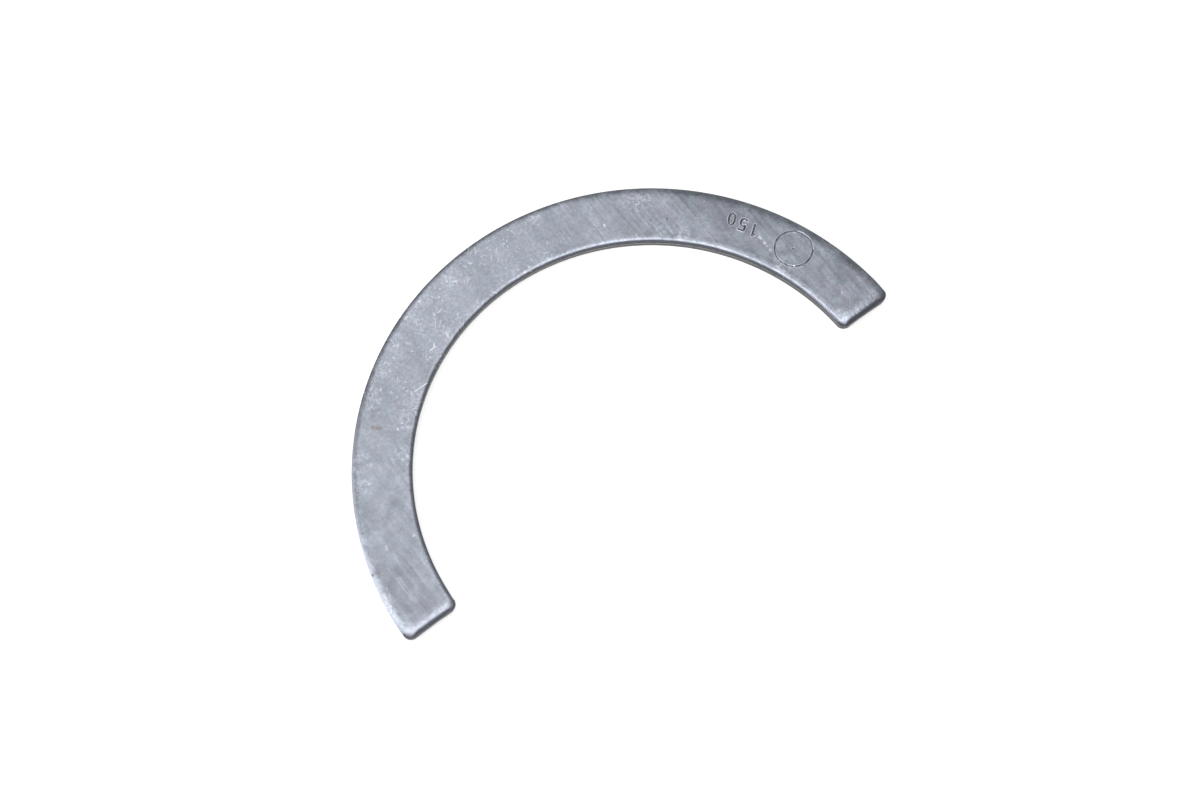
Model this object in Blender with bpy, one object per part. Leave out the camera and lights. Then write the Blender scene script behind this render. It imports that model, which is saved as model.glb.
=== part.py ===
"""Half thrust washer: a half ring blanked in one blow from sheet steel.

It lies on its torn underside with the rolled, smooth face up. X runs along the
straight ends, Y points from the open side to the crown, and Z is up. The origin
is under the middle of the washer's box, on the surface that it rests on.
"""

import math

import bmesh
import bpy

# Driving dimensions, in metres
BORE_DIAMETER = 0.120
BAND_WIDTH = 0.015
THICKNESS = 0.0034

# Each straight end stops short of the ring's axis, so that a pair of halves clears
END_CLEARANCE = 0.00025

# The four corners of the plan, as the die leaves them
CORNER_RADIUS = 0.0019

# The punch draws the upper rim down into a roll: its reach inwards and its drop on the
# arcs and at the straight ends, and the distance from the ends over which they blend
OUTER_ROLL_WIDTH = 0.0036
INNER_ROLL_WIDTH = 0.0024
ROLL_DEPTH = 0.00055
END_ROLL_WIDTH = 0.0040
END_ROLL_DEPTH = 0.00088
END_REACH = 0.0060

# The roll falls as this power of what is left to the edge, and its corners are rounder
# than the plan's by this much where it meets the flat
ROLL_CURVE = 4.0
CORNER_GROWTH = 0.0017

# Below the smooth sheared band the wall is torn, and draws in towards the underside
TORN_HEIGHT = 0.0019
TORN_TAPER = 0.00032

# Smoothness of the curves: the roll's steps crowd towards the edge by this power
ARC_STEP = math.radians(2.0)
CORNER_STEPS = 8
ROLL_STEPS = 7
ROLL_CROWDING = 1.3
SHARP_ANGLE = math.radians(20.0)

# No corner is drawn sharper than this, or rounder than this share of half the band
LEAST_CORNER = 0.00005
CORNER_ROOM = 0.95

# Satin steel
STEEL_COLOUR = (0.40, 0.43, 0.49, 1.0)
STEEL_ROUGHNESS = 0.38

INNER_RADIUS = BORE_DIAMETER / 2
OUTER_RADIUS = INNER_RADIUS + BAND_WIDTH

# The ring's axis lies on the open side of the box's middle
AXIS_Y = -(OUTER_RADIUS + END_CLEARANCE) / 2
END_Y = AXIS_Y + END_CLEARANCE


def arc(centre, radius, start, end, steps):
    """Points on an arc from start to end, both included."""
    points = []
    for step in range(steps + 1):
        angle = start + (end - start) * step / steps
        x = centre[0] + radius * math.cos(angle)
        y = centre[1] + radius * math.sin(angle)
        points.append((x, y))
    return points


def outline(outer_inset, inner_inset, end_inset, corner):
    """The plan's outline, anticlockwise, drawn in from the two arcs and from the straight ends."""
    outer = OUTER_RADIUS - outer_inset
    inner = INNER_RADIUS + inner_inset
    corner = min(corner, CORNER_ROOM * (outer - inner) / 2)
    corner = max(corner, LEAST_CORNER)

    # A corner's centre lies one corner radius inside its arc and inside the end
    rise = END_CLEARANCE + end_inset + corner
    outer_x = math.sqrt((outer - corner) ** 2 - rise ** 2)
    inner_x = math.sqrt((inner + corner) ** 2 - rise ** 2)
    outer_tilt = math.asin(rise / (outer - corner))
    inner_tilt = math.asin(rise / (inner + corner))
    down = math.radians(270.0)
    half_turn = math.pi
    arc_steps = math.ceil(half_turn / ARC_STEP)

    axis = (0.0, AXIS_Y)
    y = AXIS_Y + rise
    points = []
    points += arc(axis, outer, outer_tilt, half_turn - outer_tilt, arc_steps)
    points += arc((-outer_x, y), corner, half_turn - outer_tilt, down, CORNER_STEPS)[1:]
    points += arc((-inner_x, y), corner, down, 2 * half_turn - inner_tilt, CORNER_STEPS)
    points += arc(axis, inner, half_turn - inner_tilt, inner_tilt, arc_steps)[1:]
    points += arc((inner_x, y), corner, half_turn + inner_tilt, down, CORNER_STEPS)[1:]
    points += arc((outer_x, y), corner, down, 2 * half_turn + outer_tilt, CORNER_STEPS)[:-1]
    return points


def torn_foot():
    """The foot of the torn wall, on the underside."""
    corner = CORNER_RADIUS - TORN_TAPER
    return [(x, y, 0.0) for x, y in outline(TORN_TAPER, TORN_TAPER, TORN_TAPER, corner)]


def tear_line():
    """The line where the sheared wall turns into the torn one."""
    return [(x, y, TORN_HEIGHT) for x, y in outline(0.0, 0.0, 0.0, CORNER_RADIUS)]


def roll_depth(y):
    """The roll's drop, which eases from the straight ends to the arcs."""
    along = min((y - END_Y) / END_REACH, 1.0)
    ease = along * along * (3 - 2 * along)
    return END_ROLL_DEPTH + (ROLL_DEPTH - END_ROLL_DEPTH) * ease


def roll_contour(share):
    """A line round the roll at a share of its reach, from 0 at the wall to 1 at the flat."""
    insets = [share * width for width in (OUTER_ROLL_WIDTH, INNER_ROLL_WIDTH, END_ROLL_WIDTH)]
    points = []
    for x, y in outline(*insets, CORNER_RADIUS + share * CORNER_GROWTH):
        drop = roll_depth(y) * (1 - share) ** ROLL_CURVE
        points.append((x, y, THICKNESS - drop))
    return points


def contours():
    """The lines that the wall and the roll pass through, from the underside up."""
    lines = [torn_foot(), tear_line()]
    for step in range(ROLL_STEPS + 1):
        lines.append(roll_contour((step / ROLL_STEPS) ** ROLL_CROWDING))
    return lines


def raise_cap(mesh, cap, line):
    """Extrude the cap and redraw it along a line."""
    extruded = bmesh.ops.extrude_face_region(mesh, geom=[cap])
    raised = next(item for item in extruded["geom"] if isinstance(item, bmesh.types.BMFace))
    for vertex, place in zip(raised.verts, line):
        vertex.co = place
    return raised


def blank_mesh():
    """The blanked solid: the underside drawn up through each contour to the flat."""
    mesh = bmesh.new()
    foot, *upper_lines = contours()
    underside = mesh.faces.new([mesh.verts.new(place) for place in foot])
    cap = underside
    for line in upper_lines:
        raised = raise_cap(mesh, cap, line)
        if cap is not underside:
            # The cap that was drawn up is now inside the solid
            bmesh.ops.delete(mesh, geom=[cap], context="FACES_ONLY")
        cap = raised
    bmesh.ops.recalc_face_normals(mesh, faces=mesh.faces)
    data = bpy.data.meshes.new("half_ring")
    mesh.to_mesh(data)
    mesh.free()
    data.shade_smooth()
    data.set_sharp_from_angle(angle=SHARP_ANGLE)
    return data


def steel():
    """Satin steel, as blanked and lightly ground."""
    material = bpy.data.materials.new("steel")
    material.use_nodes = True
    shader = material.node_tree.nodes["Principled BSDF"]
    shader.inputs["Base Color"].default_value = STEEL_COLOUR
    shader.inputs["Metallic"].default_value = 1.0
    shader.inputs["Roughness"].default_value = STEEL_ROUGHNESS
    return material


def half_ring():
    """The washer, which is one piece of sheet steel."""
    data = blank_mesh()
    data.materials.append(steel())
    return bpy.data.objects.new("half_ring", data)


def main():
    for item in list(bpy.data.objects):
        bpy.data.objects.remove(item, do_unlink=True)
    washer = bpy.data.collections.new("half_thrust_washer")
    bpy.context.scene.collection.children.link(washer)
    washer.objects.link(half_ring())


main()
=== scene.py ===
# %% [markdown]
# # A half thrust washer in blanked steel
# The washer is half of a flat ring. It is punched out of sheet steel in one blow and
# laid against a shaft's shoulder, so that the shaft's end thrust runs on steel that can
# be replaced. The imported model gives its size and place, and everything below is in
# metres in that same frame: X along the straight ends, Y towards the crown, Z up.

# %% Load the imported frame
import math

import bpy
from mathutils import Matrix, Vector


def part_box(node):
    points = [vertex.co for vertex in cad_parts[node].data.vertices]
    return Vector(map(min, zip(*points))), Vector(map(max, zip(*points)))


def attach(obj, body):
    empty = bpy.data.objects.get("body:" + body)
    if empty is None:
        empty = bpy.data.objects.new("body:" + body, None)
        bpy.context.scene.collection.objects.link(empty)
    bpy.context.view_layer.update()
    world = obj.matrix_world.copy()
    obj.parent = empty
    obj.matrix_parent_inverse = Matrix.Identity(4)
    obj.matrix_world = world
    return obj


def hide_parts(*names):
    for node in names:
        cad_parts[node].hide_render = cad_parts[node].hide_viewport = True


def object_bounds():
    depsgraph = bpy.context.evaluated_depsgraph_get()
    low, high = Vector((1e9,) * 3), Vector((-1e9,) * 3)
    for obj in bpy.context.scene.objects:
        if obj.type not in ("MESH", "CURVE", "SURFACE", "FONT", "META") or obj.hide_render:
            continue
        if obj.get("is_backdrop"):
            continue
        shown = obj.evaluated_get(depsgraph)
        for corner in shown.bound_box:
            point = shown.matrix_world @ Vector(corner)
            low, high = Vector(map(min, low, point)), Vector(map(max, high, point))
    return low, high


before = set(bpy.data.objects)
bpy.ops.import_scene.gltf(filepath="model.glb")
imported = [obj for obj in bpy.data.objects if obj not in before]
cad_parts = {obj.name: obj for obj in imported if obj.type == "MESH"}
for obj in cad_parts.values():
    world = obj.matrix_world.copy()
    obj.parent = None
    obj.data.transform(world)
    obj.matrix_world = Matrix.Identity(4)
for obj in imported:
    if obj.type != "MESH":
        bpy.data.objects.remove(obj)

cad_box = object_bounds()

# %% [markdown]
# ## The sizes that everything follows
# The node's box gives the washer's height and the places of its crown and its straight
# ends. The bore and the width of the band are the two sizes that a maker would order it
# by, and the ring's axis follows from them. Taking the axis from the box keeps the
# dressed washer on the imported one.

# %% Sizes of the washer
BORE_RADIUS = 0.060
BAND_WIDTH = 0.015
CORNER_RADIUS = 0.0019

node_low, node_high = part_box("half_ring")
OUTER_RADIUS = BORE_RADIUS + BAND_WIDTH
MIDDLE_RADIUS = BORE_RADIUS + BAND_WIDTH / 2
THICKNESS = node_high.z - node_low.z
AXIS = Vector((0.0, node_high.y - OUTER_RADIUS, 0.0))
END_CLEARANCE = node_low.y - AXIS.y
print(f"thickness {THICKNESS * 1000:.2f} mm, ring axis at y {AXIS.y * 1000:.2f} mm")
print(f"each straight end stops {END_CLEARANCE * 1000:.2f} mm short of the axis")


def from_axis(radius, angle):
    """A plan position by its distance from the ring's axis and its angle from the right end."""
    return AXIS + Vector((radius * math.cos(angle), radius * math.sin(angle), 0.0))


# %% [markdown]
# ## The camera
# The photograph looks steeply down on the washer from its open side. Its silhouette
# gives the viewing angle: the ratio of the ring's height to its width sets the
# elevation, the line of the two ends sets the azimuth, and the small difference between
# the near and the far arc sets the distance. The camera goes round one point on the
# upper face by those angles.

# %% Place the camera


def new_object(name, data):
    """A new object in the scene."""
    item = bpy.data.objects.new(name, data)
    bpy.context.scene.collection.objects.link(item)
    return item


VIEW_AZIMUTH = math.radians(-39.356)
VIEW_ELEVATION = math.radians(70.192)
VIEW_ROLL = math.radians(2.373)
VIEW_DISTANCE = 0.61036
VIEW_LENS = 73.48
VIEW_CENTRE = AXIS + Vector((-0.00085, 0.02167, THICKNESS))

turn = Matrix.Rotation(VIEW_AZIMUTH, 4, "Z")
tip = Matrix.Rotation(math.radians(90.0) - VIEW_ELEVATION, 4, "X")
lean = Matrix.Rotation(VIEW_ROLL, 4, "Z")
step_back = Matrix.Translation((0.0, 0.0, VIEW_DISTANCE))

camera_data = bpy.data.cameras.new("camera")
camera_data.lens = VIEW_LENS
camera = new_object("camera", camera_data)
camera.matrix_world = Matrix.Translation(VIEW_CENTRE) @ turn @ tip @ lean @ step_back
bpy.context.scene.camera = camera
print("camera at", [round(v, 4) for v in camera.matrix_world.translation])

# %% [markdown]
# ## The plan, as columns across the band
# The punch draws the rim down into a roll, which reaches furthest in from the straight
# ends and least from the bore. The die leaves four rounded corners, and going inwards they
# get rounder still, because the steel is drawn down furthest where two edges meet. So
# the plan is a function: for one column across the band and one share of the roll, from
# 0 at the edge to 1 at the flat, it gives the column's outer and inner point. Columns 0
# to 1 run along the arcs, and the stretches below 0 and above 1 go round the corners to
# the straight ends. The left half is the right half mirrored.

# %% One column of the plan
OUTER_ROLL_WIDTH = 0.0036
INNER_ROLL_WIDTH = 0.0024
END_ROLL_WIDTH = 0.0040
CORNER_GROWTH = 0.0017


def roll_outline(share):
    """Both radii, the corner radius and the corner centres' height at a share of the roll."""
    outer = OUTER_RADIUS - share * OUTER_ROLL_WIDTH
    inner = BORE_RADIUS + share * INNER_ROLL_WIDTH
    corner = CORNER_RADIUS + share * CORNER_GROWTH
    rise = END_CLEARANCE + share * END_ROLL_WIDTH + corner
    return outer, inner, corner, rise


def direction(angle):
    """The plan direction at an angle from X."""
    return Vector((math.cos(angle), math.sin(angle), 0.0))


def column_points(column, share):
    """The outer and the inner point of a column, on the outline at a share of the roll."""
    side = 1.0
    if column > 0.5:
        column, side = 1.0 - column, -1.0
    outer, inner, corner, rise = roll_outline(share)
    outer_tilt = math.asin(rise / (outer - corner))
    inner_tilt = math.asin(rise / (inner + corner))
    if column >= 0.0:
        outer_point = from_axis(outer, outer_tilt + column * (math.pi - 2 * outer_tilt))
        inner_point = from_axis(inner, inner_tilt + column * (math.pi - 2 * inner_tilt))
    else:
        turned = 1.0 + column
        outer_turn = -math.pi / 2 + turned * (math.pi / 2 + outer_tilt)
        inner_turn = -math.pi / 2 - turned * (math.pi / 2 - inner_tilt)
        outer_centre = from_axis(outer - corner, outer_tilt)
        inner_centre = from_axis(inner + corner, inner_tilt)
        outer_point = outer_centre + corner * direction(outer_turn)
        inner_point = inner_centre + corner * direction(inner_turn)
    outer_point.x *= side
    inner_point.x *= side
    return outer_point, inner_point


print("crown:", [tuple(round(v * 1000, 2) for v in p) for p in column_points(0.5, 0.0)])

# %% [markdown]
# ## How fine the net has to be
# The stamped marks are cut by lines a third of a millimetre wide, so the stretch that
# carries them gets a column every tenth of a millimetre. Elsewhere the band only bends
# round its arc, where a column every millimetre is smooth. The rim is rolled down
# steeply, so its rings crowd towards the edge.

# %% Columns, rows and rings
MARKED_FROM, MARKED_TO = math.radians(16.0), math.radians(38.0)
FINE_STEP = 0.0001
COARSE_STEP = 0.0010
CORNER_STEPS = 12
LAST_SHARE = 1.15
ROLL_RINGS = 30
RING_CROWDING = 1.2


def evenly(first, last, count):
    """Count positions from first on, with last left out."""
    return [first + (last - first) * n / count for n in range(count)]


def along_band(first, last, step):
    """Columns from first on that are about one step apart along the middle of the band."""
    return evenly(first, last, math.ceil((last - first) * math.pi * MIDDLE_RADIUS / step))


def column_at(angle):
    """The column that stands at an angle round the flat, by its outer point."""
    outer, _, corner, rise = roll_outline(LAST_SHARE)
    tilt = math.asin(rise / (outer - corner))
    return (angle - tilt) / (math.pi - 2 * tilt)


marked_from, marked_to = column_at(MARKED_FROM), column_at(MARKED_TO)
columns = evenly(-1.0, 0.0, CORNER_STEPS)
columns += along_band(0.0, marked_from, COARSE_STEP)
columns += along_band(marked_from, marked_to, FINE_STEP)
columns += along_band(marked_to, 1.0, COARSE_STEP)
columns += evenly(1.0, 2.0, CORNER_STEPS) + [2.0]
flat_width = BAND_WIDTH - LAST_SHARE * (OUTER_ROLL_WIDTH + INNER_ROLL_WIDTH)
rows = math.ceil(flat_width / FINE_STEP)
shares = [LAST_SHARE * (n / ROLL_RINGS) ** RING_CROWDING for n in range(ROLL_RINGS + 1)]
print(len(columns), "columns,", rows, "rows,", len(shares), "rings")

# %% [markdown]
# ## The flat net
# The net is the washer's upper side before it is pressed: rings that follow the
# outline, round a grid that fills the flat. A filled curve would have no vertices inside
# it to press. Each vertex carries its share of the roll, and which way is outwards
# there, as attributes that the press reads.

# %% Weave the net


def ring_points(share):
    """One closed ring: outer arc, left end, inner arc, right end."""
    pairs = [column_points(column, share) for column in columns]
    right, left = pairs[0], pairs[-1]
    ring = [outer for outer, _ in pairs]
    ring += [left[0].lerp(left[1], n / rows) for n in range(1, rows)]
    ring += [inner for _, inner in reversed(pairs)]
    ring += [right[1].lerp(right[0], n / rows) for n in range(1, rows)]
    return ring


def weave_net():
    """The flat net as a mesh, with its roll and outwards attributes."""
    rings = [ring_points(share) for share in shares]
    around = len(rings[0])
    points = [point for ring in rings for point in ring]
    faces = []
    for level in range(len(rings) - 1):
        for n in range(around):
            here, beside = level * around + n, level * around + (n + 1) % around
            faces.append((here, beside, beside + around, here + around))

    # The grid inside the last ring shares that ring's vertices along its four sides
    last = (len(rings) - 1) * around
    count = len(columns)
    grid = {}
    for c in range(count):
        grid[c, 0] = last + c
        grid[c, rows] = last + 2 * count + rows - 2 - c
    for r in range(1, rows):
        grid[count - 1, r] = last + count + r - 1
        grid[0, r] = last + around - r
    for c in range(1, count - 1):
        top, bottom = points[grid[c, 0]], points[grid[c, rows]]
        for r in range(1, rows):
            grid[c, r] = len(points)
            points.append(top.lerp(bottom, r / rows))
    for c in range(count - 1):
        for r in range(rows):
            faces.append((grid[c, r], grid[c + 1, r], grid[c + 1, r + 1], grid[c, r + 1]))

    net = bpy.data.meshes.new("washer_net")
    net.from_pydata(points, [], faces)
    roll_shares = [share for share in shares for _ in range(around)]
    roll_shares += [LAST_SHARE] * (len(points) - len(roll_shares))
    net.attributes.new("roll", "FLOAT", "POINT").data.foreach_set("value", roll_shares)
    outwards = [(a - b).normalized() for a, b in zip(rings[0], rings[1])]
    outwards += [Vector()] * (len(points) - around)
    flat_list = [value for vector in outwards for value in vector]
    net.attributes.new("outwards", "FLOAT_VECTOR", "POINT").data.foreach_set("vector", flat_list)
    return net


net = weave_net()
print("net:", len(net.vertices), "vertices,", len(net.polygons), "faces")

# %% [markdown]
# ## Marks struck by hand
# A washer like this has its nominal outside diameter struck into it with figure stamps,
# and beside it an inspection ring with a centre-punch dot. A stamp's edge is a set of
# strokes, so each mark is a curve along the middle of its strokes, and the press below
# sinks the steel by how near it lies to a stroke. A hand holds no stamp quite square,
# so every figure has its own slight turn and shift.

# %% The strokes of the marks
MARK_RADIUS = 0.0682
FIGURE_HEIGHT = 0.0033
FIGURE_PITCH = math.radians(2.60)
FIGURES_FROM = math.radians(30.8)
INSPECTION_ANGLE = math.radians(21.3)
INSPECTION_RADIUS = 0.00487
PUNCH_DOT_RADIUS = 0.00014

# The figure, its turn and its shift across the band, for each blow from the right
FIGURE_BLOWS = (("1", 0.10, 0.0), ("5", -0.04, 0.0005), ("0", 0.06, 0.0011))


def bow(x, y, reach_x, reach_y, start, end, count=14):
    """Points on an arc of an ellipse, with its angles in degrees."""
    points = []
    for n in range(count + 1):
        angle = math.radians(start + (end - start) * n / count)
        points.append((x + reach_x * math.cos(angle), y + reach_y * math.sin(angle)))
    return points


# Each figure stands on the line y = 0, is 1 high and has x = 0 up its middle
FIGURE_STROKES = {
    "1": [[(-0.17, 0.80), (0.02, 1.0), (0.02, 0.0)]],
    "5": [[(0.22, 1.0), (-0.20, 1.0), (-0.22, 0.55)] + bow(-0.03, 0.31, 0.26, 0.30, 132, -130)],
    "0": [bow(0.0, 0.5, 0.24, 0.5, 0, 360, 24)],
}


def struck_figure(figure, angle, turned, across):
    """A figure's strokes laid on the band, its top towards the ring's axis."""
    middle = from_axis(MARK_RADIUS + across, angle)
    up = -direction(angle + turned)
    right = Vector((up.y, -up.x, 0.0))
    strokes = []
    for stroke in FIGURE_STROKES[figure]:
        strokes.append([middle + FIGURE_HEIGHT * (x * right + (y - 0.5) * up) for x, y in stroke])
    return strokes


def stroke_object(name, strokes):
    """The strokes as one curve object on the plane z = 0."""
    curve = bpy.data.curves.new(name, "CURVE")
    curve.dimensions = "3D"
    for stroke in strokes:
        spline = curve.splines.new("POLY")
        spline.points.add(len(stroke) - 1)
        for point, place in zip(spline.points, stroke):
            point.co = (place.x, place.y, 0.0, 1.0)
    return new_object(name, curve)


figure_strokes = []
for n, (figure, turned, across) in enumerate(FIGURE_BLOWS):
    figure_strokes += struck_figure(figure, FIGURES_FROM + n * FIGURE_PITCH, turned, across)
figures = stroke_object("figure_strokes", figure_strokes)

ring_middle = from_axis(MARK_RADIUS, INSPECTION_ANGLE)
ring_strokes = []
for radius, count in ((INSPECTION_RADIUS, 72), (PUNCH_DOT_RADIUS, 8)):
    circle = bow(0, 0, 1, 1, 0, 360, count)
    ring_strokes.append([ring_middle + radius * Vector((x, y, 0)) for x, y in circle])
inspection = stroke_object("inspection_strokes", ring_strokes)
print("strokes:", len(figure_strokes), "in the figures,", len(ring_strokes), "in the ring")

# %% [markdown]
# ## Nodes by the handful
# The press and the finishes are node trees, and most of their nodes do plain sums. A few
# helpers make a sum read as one line: each adds a node, feeds its inputs with values or
# with other nodes' outputs, and hands back its output.

# %% Node helpers


def feed(tree, socket, value):
    """Give a socket a fixed value, or link the output that is to drive it."""
    if isinstance(value, bpy.types.NodeSocket):
        tree.links.new(value, socket)
    else:
        socket.default_value = value


def add(tree, kind, inputs=(), **settings):
    """The outputs of a new node with these settings, whose inputs are fed by name or in order."""
    node = tree.nodes.new(kind)
    for name, setting in settings.items():
        setattr(node, name, setting)
    for key, value in inputs.items() if isinstance(inputs, dict) else enumerate(inputs):
        feed(tree, node.inputs[key], value)
    return node.outputs


def calc(tree, operation, *values):
    """The result of one sum on numbers."""
    return add(tree, "ShaderNodeMath", values, operation=operation)["Value"]


def times(tree, *factors):
    """The product of two or more numbers."""
    product = factors[0]
    for factor in factors[1:]:
        product = calc(tree, "MULTIPLY", product, factor)
    return product


def vector_calc(tree, operation, *values):
    """The result of one sum on vectors."""
    inputs = {0: values[0], "Scale": values[1]} if operation == "SCALE" else values
    outputs = add(tree, "ShaderNodeVectorMath", inputs, operation=operation)
    return outputs["Value" if operation in ("DISTANCE", "DOT_PRODUCT") else "Vector"]


def axes_of(tree, vector):
    """The X, Y and Z of a vector."""
    return add(tree, "ShaderNodeSeparateXYZ", {"Vector": vector})


def ramp(tree, value, low, high, bottom=0.0, top=1.0):
    """A soft step from bottom to top as the value goes from low to high."""
    inputs = (value, low, high, bottom, top)
    return add(tree, "ShaderNodeMapRange", inputs, interpolation_type="SMOOTHSTEP")["Result"]


def noise(tree, place, size, seed, detail=2.0):
    """Noise between 0 and 1, whose grains have the given size in metres along X, Y and Z."""
    scaled = vector_calc(tree, "MULTIPLY", place, tuple(1.0 / length for length in size))
    inputs = {"Vector": scaled, "W": seed, "Scale": 1.0, "Detail": detail}
    return add(tree, "ShaderNodeTexNoise", inputs, noise_dimensions="4D")[0]


def peaks(tree, place, texture, low, high, bottom=0.0, top=1.0):
    """A soft step from bottom to top as a texture rises from low to high."""
    return ramp(tree, noise(tree, place, *texture), low, high, bottom, top)


print("helpers ready")

# %% [markdown]
# ## One blow of a stamp
# This group takes a set of strokes and gives the height that the blow adds at each
# vertex: a groove along the stroke, and beside it the lip of steel that the blow pushed
# up. The press uses it twice, for the figures and for the thinner inspection ring.

# %% The stamp group
ROCKING_GRAIN = (0.0016, 0.0016, 0.0016)


def named_inputs(tree, kind, names):
    """Named inputs of one kind for a group or a press."""
    for name in names:
        tree.interface.new_socket(name, in_out="INPUT", socket_type="NodeSocket" + kind)


def stamp_group():
    """A node group that turns strokes into the height a blow adds to the face."""
    tree = bpy.data.node_groups.new("stamp_blow", "GeometryNodeTree")
    named_inputs(tree, "Object", ["Strokes"])
    named_inputs(tree, "Float", ["Stroke Width", "Stroke Depth", "Lip Height", "Seed"])
    tree.interface.new_socket("Height", in_out="OUTPUT", socket_type="NodeSocketFloat")
    given = add(tree, "NodeGroupInput")
    place = add(tree, "GeometryNodeInputPosition")["Position"]
    strokes = add(tree, "GeometryNodeObjectInfo", {"Object": given["Strokes"]})["Geometry"]
    edges = add(tree, "GeometryNodeCurveToMesh", {"Curve": strokes})["Mesh"]
    nearest = add(tree, "GeometryNodeProximity", {"Geometry": edges}, target_element="EDGES")

    # The hand rocks the stamp a little, so the groove is deeper here and shallower there
    blow = ramp(tree, noise(tree, place, ROCKING_GRAIN, given["Seed"]), 0.3, 0.7, 0.55, 1.25)

    # Across a stroke the groove reaches one half width from the middle, and the lip lies beyond
    half_width = times(tree, given["Stroke Width"], 0.5)
    from_middle = calc(tree, "DIVIDE", nearest["Distance"], half_width)
    groove = ramp(tree, from_middle, 1.0, 0.15, 0.0, given["Stroke Depth"])
    lip = times(tree, ramp(tree, from_middle, 0.8, 1.3), ramp(tree, from_middle, 2.4, 1.4))
    lip = times(tree, lip, given["Lip Height"])
    height = times(tree, calc(tree, "SUBTRACT", lip, groove), blow)
    add(tree, "NodeGroupOutput", {"Height": height})
    return tree


stamp_blow = stamp_group()
print("stamp group:", len(stamp_blow.nodes), "nodes")

# %% [markdown]
# ## The press
# Blanking follows a rule, so a node tree can do it. The punch first draws the rim down
# in a curve that steepens towards the edge, deeper at the straight ends than on the
# arcs. Then it shears the wall clean for a third of the thickness, and the rest tears
# away. The tree does the same to the net: it lowers each vertex by its share of the
# roll, pulls the open edge down in steps, and closes the underside with one face.

# %% Inputs of the press
PRESS_SIZES = {
    "Thickness": THICKNESS,
    "Roll Depth": 0.00055,
    "End Roll Depth": 0.00088,
    "End Reach": 0.0060,
    "Roll Curve": 4.0,
    "Roll Unevenness": 0.25,
    "Figure Width": 0.00046,
    "Figure Depth": 0.00024,
    "Figure Lip": 0.00005,
    "Ring Width": 0.00042,
    "Ring Depth": 0.00017,
    "Ring Lip": 0.00003,
    "Tear Line": 0.0019,
    "Tear Line Waver": 0.0002,
    "Torn Taper": 0.00032,
    "Torn Roughness": 0.00006,
    "Seed": 4.0,
}

press = bpy.data.node_groups.new("press_washer", "GeometryNodeTree")
press.interface.new_socket("Geometry", in_out="OUTPUT", socket_type="NodeSocketGeometry")
named_inputs(press, "Geometry", ["Geometry"])
named_inputs(press, "Object", ["Figures", "Inspection Ring"])
named_inputs(press, "Material", ["Ground Face", "Blanked Edge", "Mill Underside"])
named_inputs(press, "Float", PRESS_SIZES)
given = add(press, "NodeGroupInput")
print("press inputs:", len(press.interface.items_tree))

# %% Press the face: rim and marks
UNEVEN_GRAIN = (0.004, 0.004, 0.004)


def seed_plus(step):
    """The press's seed, moved on by a step."""
    return calc(press, "ADD", given["Seed"], step)


def attribute(name, kind):
    """A stored attribute of the net as a field."""
    named = {"Name": name}
    return add(press, "GeometryNodeInputNamedAttribute", named, data_type=kind)["Attribute"]


def blow_height(strokes, mark, seed_step):
    """The height that one set of strokes adds, with the sizes of its kind of mark."""
    inputs = {
        "Strokes": given[strokes],
        "Stroke Width": given[mark + " Width"],
        "Stroke Depth": given[mark + " Depth"],
        "Lip Height": given[mark + " Lip"],
        "Seed": seed_plus(seed_step),
    }
    return add(press, "GeometryNodeGroup", inputs, node_tree=stamp_blow)["Height"]


def upwards(height):
    """A vector that points up by a height."""
    return add(press, "ShaderNodeCombineXYZ", {"Z": height})["Vector"]


roll = attribute("roll", "FLOAT")
place = add(press, "GeometryNodeInputPosition")["Position"]
from_ends = calc(press, "SUBTRACT", axes_of(press, place)["Y"], node_low.y)
depths = (given["Roll Depth"], given["End Roll Depth"])
roll_depth = ramp(press, from_ends, given["End Reach"], 0.0, *depths)
uneven = noise(press, place, UNEVEN_GRAIN, given["Seed"], detail=1.0)
uneven = times(press, calc(press, "SUBTRACT", uneven, 0.5), given["Roll Unevenness"])
share = calc(press, "MINIMUM", calc(press, "DIVIDE", roll, calc(press, "ADD", uneven, 1.0)), 1.0)
steepness = calc(press, "POWER", calc(press, "SUBTRACT", 1.0, share), given["Roll Curve"])
height = calc(press, "SUBTRACT", given["Thickness"], times(press, steepness, roll_depth))

figures_blow = blow_height("Figures", "Figure", 1.0)
ring_blow = blow_height("Inspection Ring", "Ring", 2.0)
height = calc(press, "ADD", height, calc(press, "ADD", figures_blow, ring_blow))
raised = {"Geometry": given["Geometry"], "Offset": upwards(height)}
pressed = add(press, "GeometryNodeSetPosition", raised)["Geometry"]
print("face pressed with", len(press.nodes), "nodes so far")

# %% Press the wall: sheared, then torn
WAVER_GRAIN = (0.003, 0.003, 1.0)
TORN_GRAIN = (0.0009, 0.0009, 0.0009)
TORN_STEPS = 5


def draw_down(geometry, open_edge, place, offset):
    """Extrude the open edge and put its new vertices at a place plus an offset."""
    edge = {"Mesh": geometry, "Selection": open_edge, "Offset Scale": 0.0}
    drawn = add(press, "GeometryNodeExtrudeMesh", edge, mode="EDGES")
    moved = {"Geometry": drawn["Mesh"], "Selection": drawn["Top"]}
    moved |= {"Position": place, "Offset": offset}
    return add(press, "GeometryNodeSetPosition", moved)["Geometry"], drawn["Top"]


faces_beside = add(press, "GeometryNodeInputMeshEdgeNeighbors")["Face Count"]
open_edge = calc(press, "LESS_THAN", faces_beside, 1.5)
outwards = attribute("outwards", "FLOAT_VECTOR")

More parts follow.
